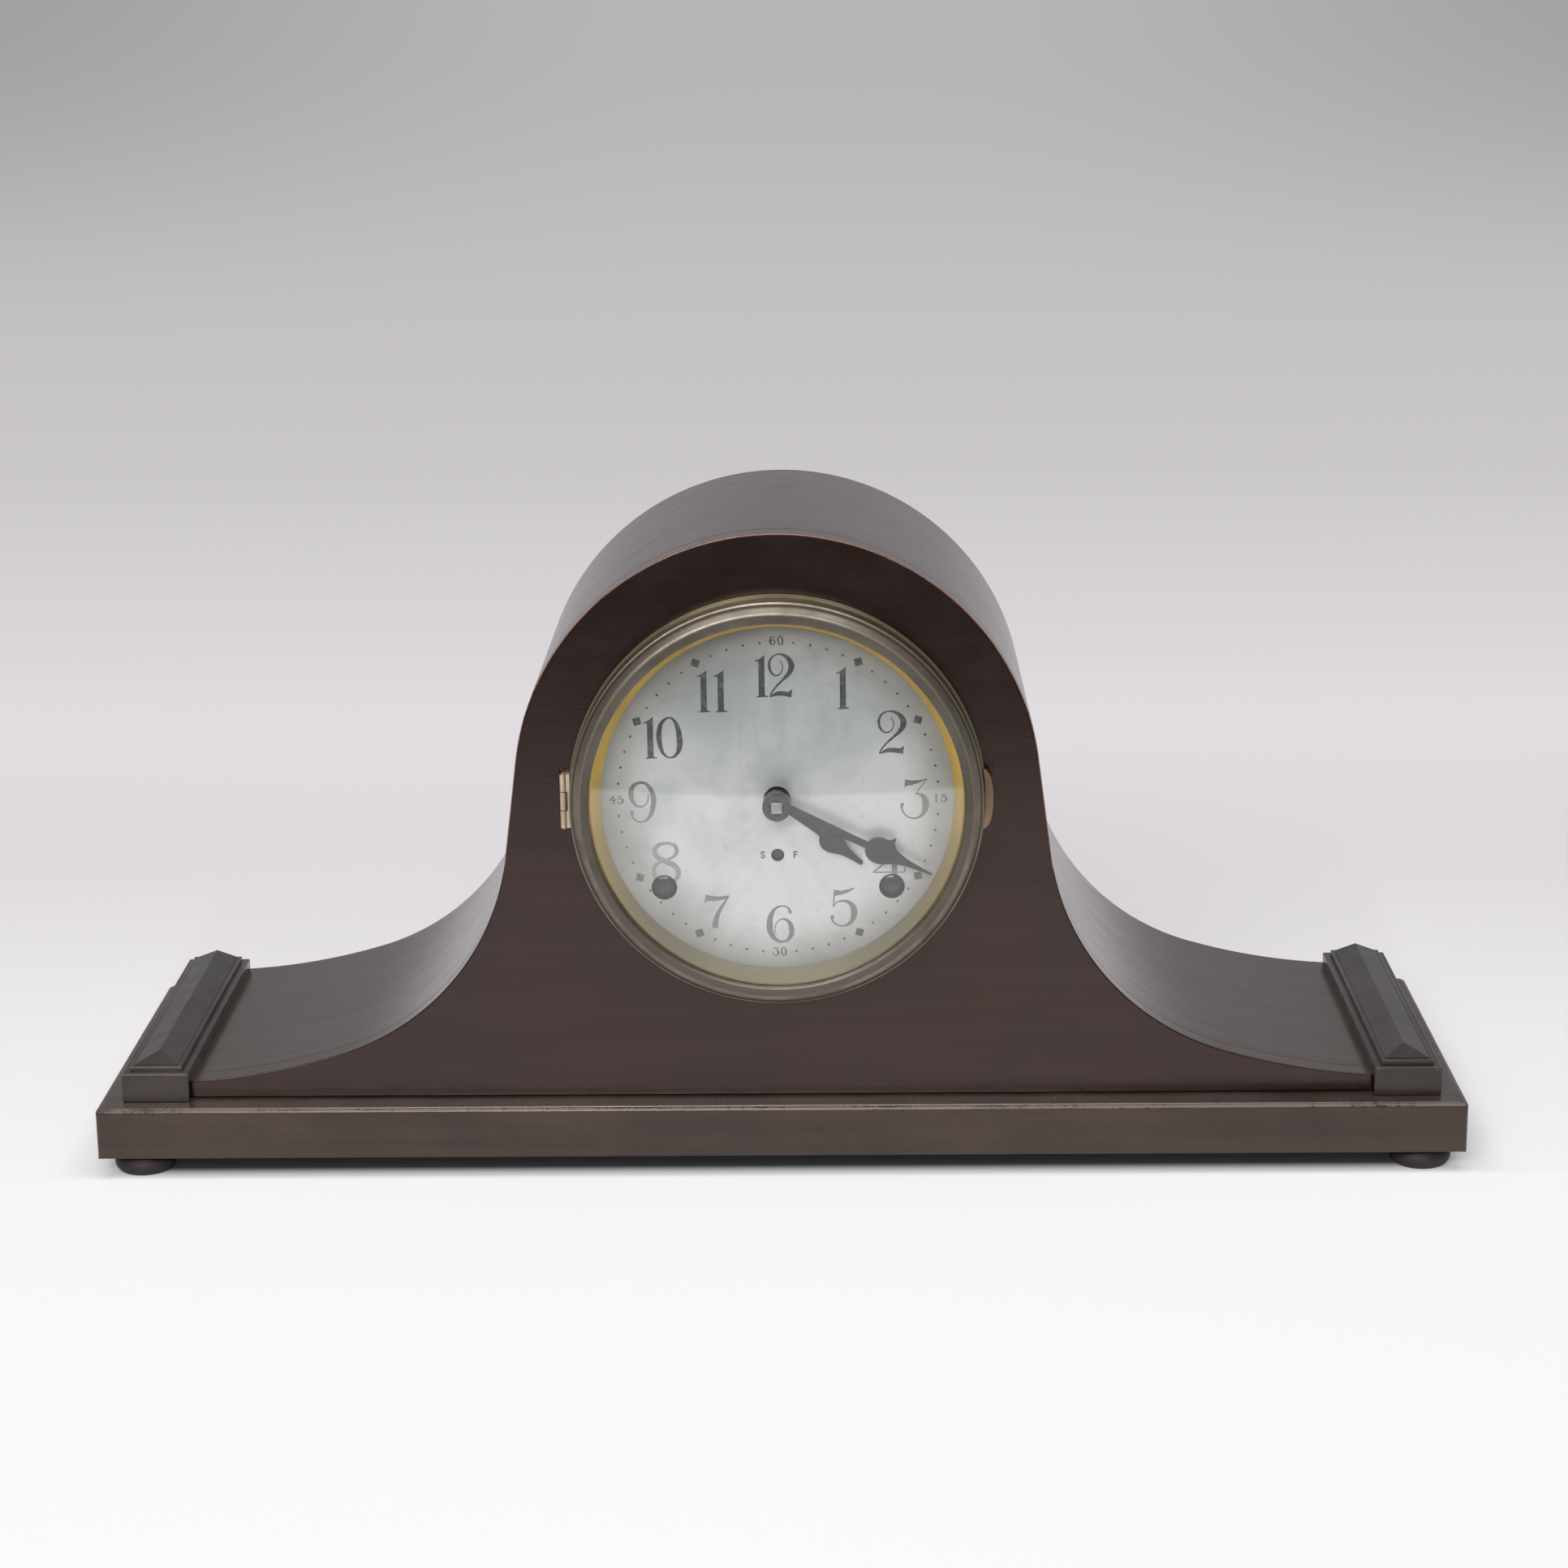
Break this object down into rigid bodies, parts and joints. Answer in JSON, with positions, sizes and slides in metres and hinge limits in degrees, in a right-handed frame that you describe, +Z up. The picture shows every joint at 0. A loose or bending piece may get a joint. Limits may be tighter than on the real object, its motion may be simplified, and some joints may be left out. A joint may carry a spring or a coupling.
{
  "type": "tambour mantel clock",
  "caption": "Bell-shaped wooden mantel clock with a round glazed bezel, silvered dial, going and striking movement, pendulum, rod gong and a back door.",
  "frame": {"origin": "on the floor under the middle of the whole clock's box", "axes": "+Z up, the dial faces -Y, +X to the right as seen from the front"},
  "size_m": [0.53, 0.1598, 0.2502],
  "materials": {
    "dark_wood": "satin dark brown stain",
    "block_wood": "satin near-black stain",
    "back_wood": "bare",
    "aged_brass": "dulled",
    "gilt_ring": "polished",
    "movement_brass": "brushed",
    "steel": "brushed",
    "blackened_steel": "semi-gloss black",
    "silvered_dial": "satin silver",
    "glass": "clear",
    "cast_iron": "black"
  },
  "bodies": {
    "case": {"base_board": "dark_wood", "front_board": "dark_wood", "top_wrap": "dark_wood", "back_board": "back_wood", "end_block_left": "block_wood", "end_block_right": "block_wood", "foot_front_left": "block_wood", "foot_front_right": "block_wood", "foot_back_left": "block_wood", "foot_back_right": "block_wood", "dial_plate": "silvered_dial", "dial_pan": "movement_brass", "bezel_hinge_plate": "aged_brass", "bezel_hinge_pin": "aged_brass", "movement_front_plate": "movement_brass", "movement_back_plate": "movement_brass", "pillar_lower_left": "steel", "pillar_lower_right": "steel", "pillar_upper_left": "steel", "pillar_upper_right": "steel", "mounting_bar_upper": "back_wood", "mounting_bar_lower": "back_wood", "time_mainspring": "steel", "strike_mainspring": "steel", "suspension_cock": "movement_brass", "gong_block": "cast_iron", "gong_rod": "steel", "door_hinge_plate": "movement_brass", "door_hinge_pin": "movement_brass"},
    "bezel": {"bezel_ring": "aged_brass", "bezel_glass": "glass", "sight_ring": "gilt_ring", "bezel_hinge_leaf": "aged_brass", "lift_tab": "aged_brass"},
    "back_door": {"back_door": "back_wood", "back_door_knob": "movement_brass", "door_hinge_leaf": "movement_brass"},
    "door_latch": {"door_latch": "movement_brass"},
    "centre": {"centre_arbor": "movement_brass", "minute_hand": "blackened_steel", "hand_collet": "blackened_steel"},
    "hour": {"hour_wheel": "movement_brass", "hour_hand": "blackened_steel"},
    "minute_wheel": {"minute_wheel": "movement_brass"},
    "time_second": {"time_second_wheel": "movement_brass"},
    "time_great": {"time_great_wheel": "movement_brass", "time_click": "steel"},
    "time_winder": {"time_winding_arbor": "steel"},
    "third": {"third_wheel": "movement_brass"},
    "escape": {"escape_wheel": "movement_brass"},
    "verge": {"verge": "steel"},
    "pendulum": {"pendulum_rod": "steel", "pendulum_bob": "movement_brass"},
    "regulator": {"regulator_arbor": "steel"},
    "strike_pin": {"strike_pin_wheel": "movement_brass"},
    "strike_great": {"strike_great_wheel": "movement_brass", "strike_click": "steel"},
    "strike_winder": {"strike_winding_arbor": "steel"},
    "strike_fly": {"strike_fly": "movement_brass"},
    "hammer": {"hammer": "steel"}
  },
  "joints": [
    {"name": "bezel_hinge", "type": "hinge", "parent": "case", "child": "bezel", "pos_m": [-0.0812, -0.0644, 0.148], "axis": [0, 0, -1], "range_deg": [0, 110]},
    {"name": "back_door_hinge", "type": "hinge", "parent": "case", "child": "back_door", "pos_m": [0.066, 0.0728, 0.148], "axis": [0, 0, -1], "range_deg": [0, 105]},
    {"name": "door_latch_turn", "type": "hinge", "parent": "case", "child": "door_latch", "pos_m": [-0.069, 0.0716, 0.148], "axis": [0, 1, 0], "range_deg": [0, 90]},
    {"name": "minute_turn", "type": "hinge", "parent": "case", "child": "centre", "pos_m": [0, -0.028, 0.148], "axis": [0, 1, 0], "continuous": true},
    {"name": "hour_turn", "type": "hinge", "parent": "case", "child": "hour", "pos_m": [0, -0.0519, 0.148], "axis": [0, 1, 0], "continuous": true},
    {"name": "minute_wheel_turn", "type": "hinge", "parent": "case", "child": "minute_wheel", "pos_m": [-0.01244, -0.0481, 0.16045], "axis": [0, 1, 0], "continuous": true},
    {"name": "time_second_turn", "type": "hinge", "parent": "case", "child": "time_second", "pos_m": [0.02558, -0.0102, 0.14333], "axis": [0, 1, 0], "continuous": true},
    {"name": "time_great_turn", "type": "hinge", "parent": "case", "child": "time_great", "pos_m": [0.0435, -0.0394, 0.1135], "axis": [0, 1, 0], "continuous": true},
    {"name": "time_winding", "type": "hinge", "parent": "time_great", "child": "time_winder", "pos_m": [0.0435, -0.0414, 0.1135], "axis": [0, 1, 0], "continuous": true},
    {"name": "third_turn", "type": "hinge", "parent": "case", "child": "third", "pos_m": [0.0054, -0.018, 0.16933], "axis": [0, 1, 0], "continuous": true},
    {"name": "escape_turn", "type": "hinge", "parent": "case", "child": "escape", "pos_m": [0, -0.0235, 0.1865], "axis": [0, 1, 0], "continuous": true},
    {"name": "pendulum_swing", "type": "hinge", "parent": "case", "child": "pendulum", "pos_m": [0, 0.0081, 0.204], "axis": [0, 1, 0], "range_deg": [-3, 3]},
    {"name": "verge_rock", "type": "hinge", "parent": "case", "child": "verge", "pos_m": [0, -0.0235, 0.204], "axis": [0, 1, 0], "range_deg": [-3, 3]},
    {"name": "regulator_turn", "type": "hinge", "parent": "case", "child": "regulator", "pos_m": [0, -0.0436, 0.1261], "axis": [0, 1, 0], "range_deg": [-170, 170]},
    {"name": "strike_pin_turn", "type": "hinge", "parent": "case", "child": "strike_pin", "pos_m": [-0.02843, -0.0102, 0.14487], "axis": [0, 1, 0], "continuous": true},
    {"name": "strike_great_turn", "type": "hinge", "parent": "case", "child": "strike_great", "pos_m": [-0.0435, -0.0394, 0.1135], "axis": [0, 1, 0], "continuous": true},
    {"name": "strike_winding", "type": "hinge", "parent": "strike_great", "child": "strike_winder", "pos_m": [-0.0435, -0.0414, 0.1135], "axis": [0, 1, 0], "continuous": true},
    {"name": "fly_turn", "type": "hinge", "parent": "case", "child": "strike_fly", "pos_m": [-0.03859, -0.0102, 0.1688], "axis": [0, 1, 0], "continuous": true},
    {"name": "hammer_lift", "type": "hinge", "parent": "case", "child": "hammer", "pos_m": [-0.03, 0.0316, 0.096], "axis": [0, 1, 0], "range_deg": [0, 12]}
  ],
  "couplings": [
    {"joint": "hour_turn", "follows": "minute_turn", "ratio": 0.083333},
    {"joint": "minute_wheel_turn", "follows": "minute_turn", "ratio": -0.33333},
    {"joint": "time_second_turn", "follows": "minute_turn", "ratio": -0.25},
    {"joint": "time_great_turn", "follows": "minute_turn", "ratio": 0.05},
    {"joint": "third_turn", "follows": "minute_turn", "ratio": -4},
    {"joint": "escape_turn", "follows": "minute_turn", "ratio": 14},
    {"joint": "verge_rock", "follows": "pendulum_swing", "ratio": 1},
    {"joint": "strike_great_turn", "follows": "strike_pin_turn", "ratio": -0.2},
    {"joint": "fly_turn", "follows": "strike_pin_turn", "ratio": -4}
  ]
}
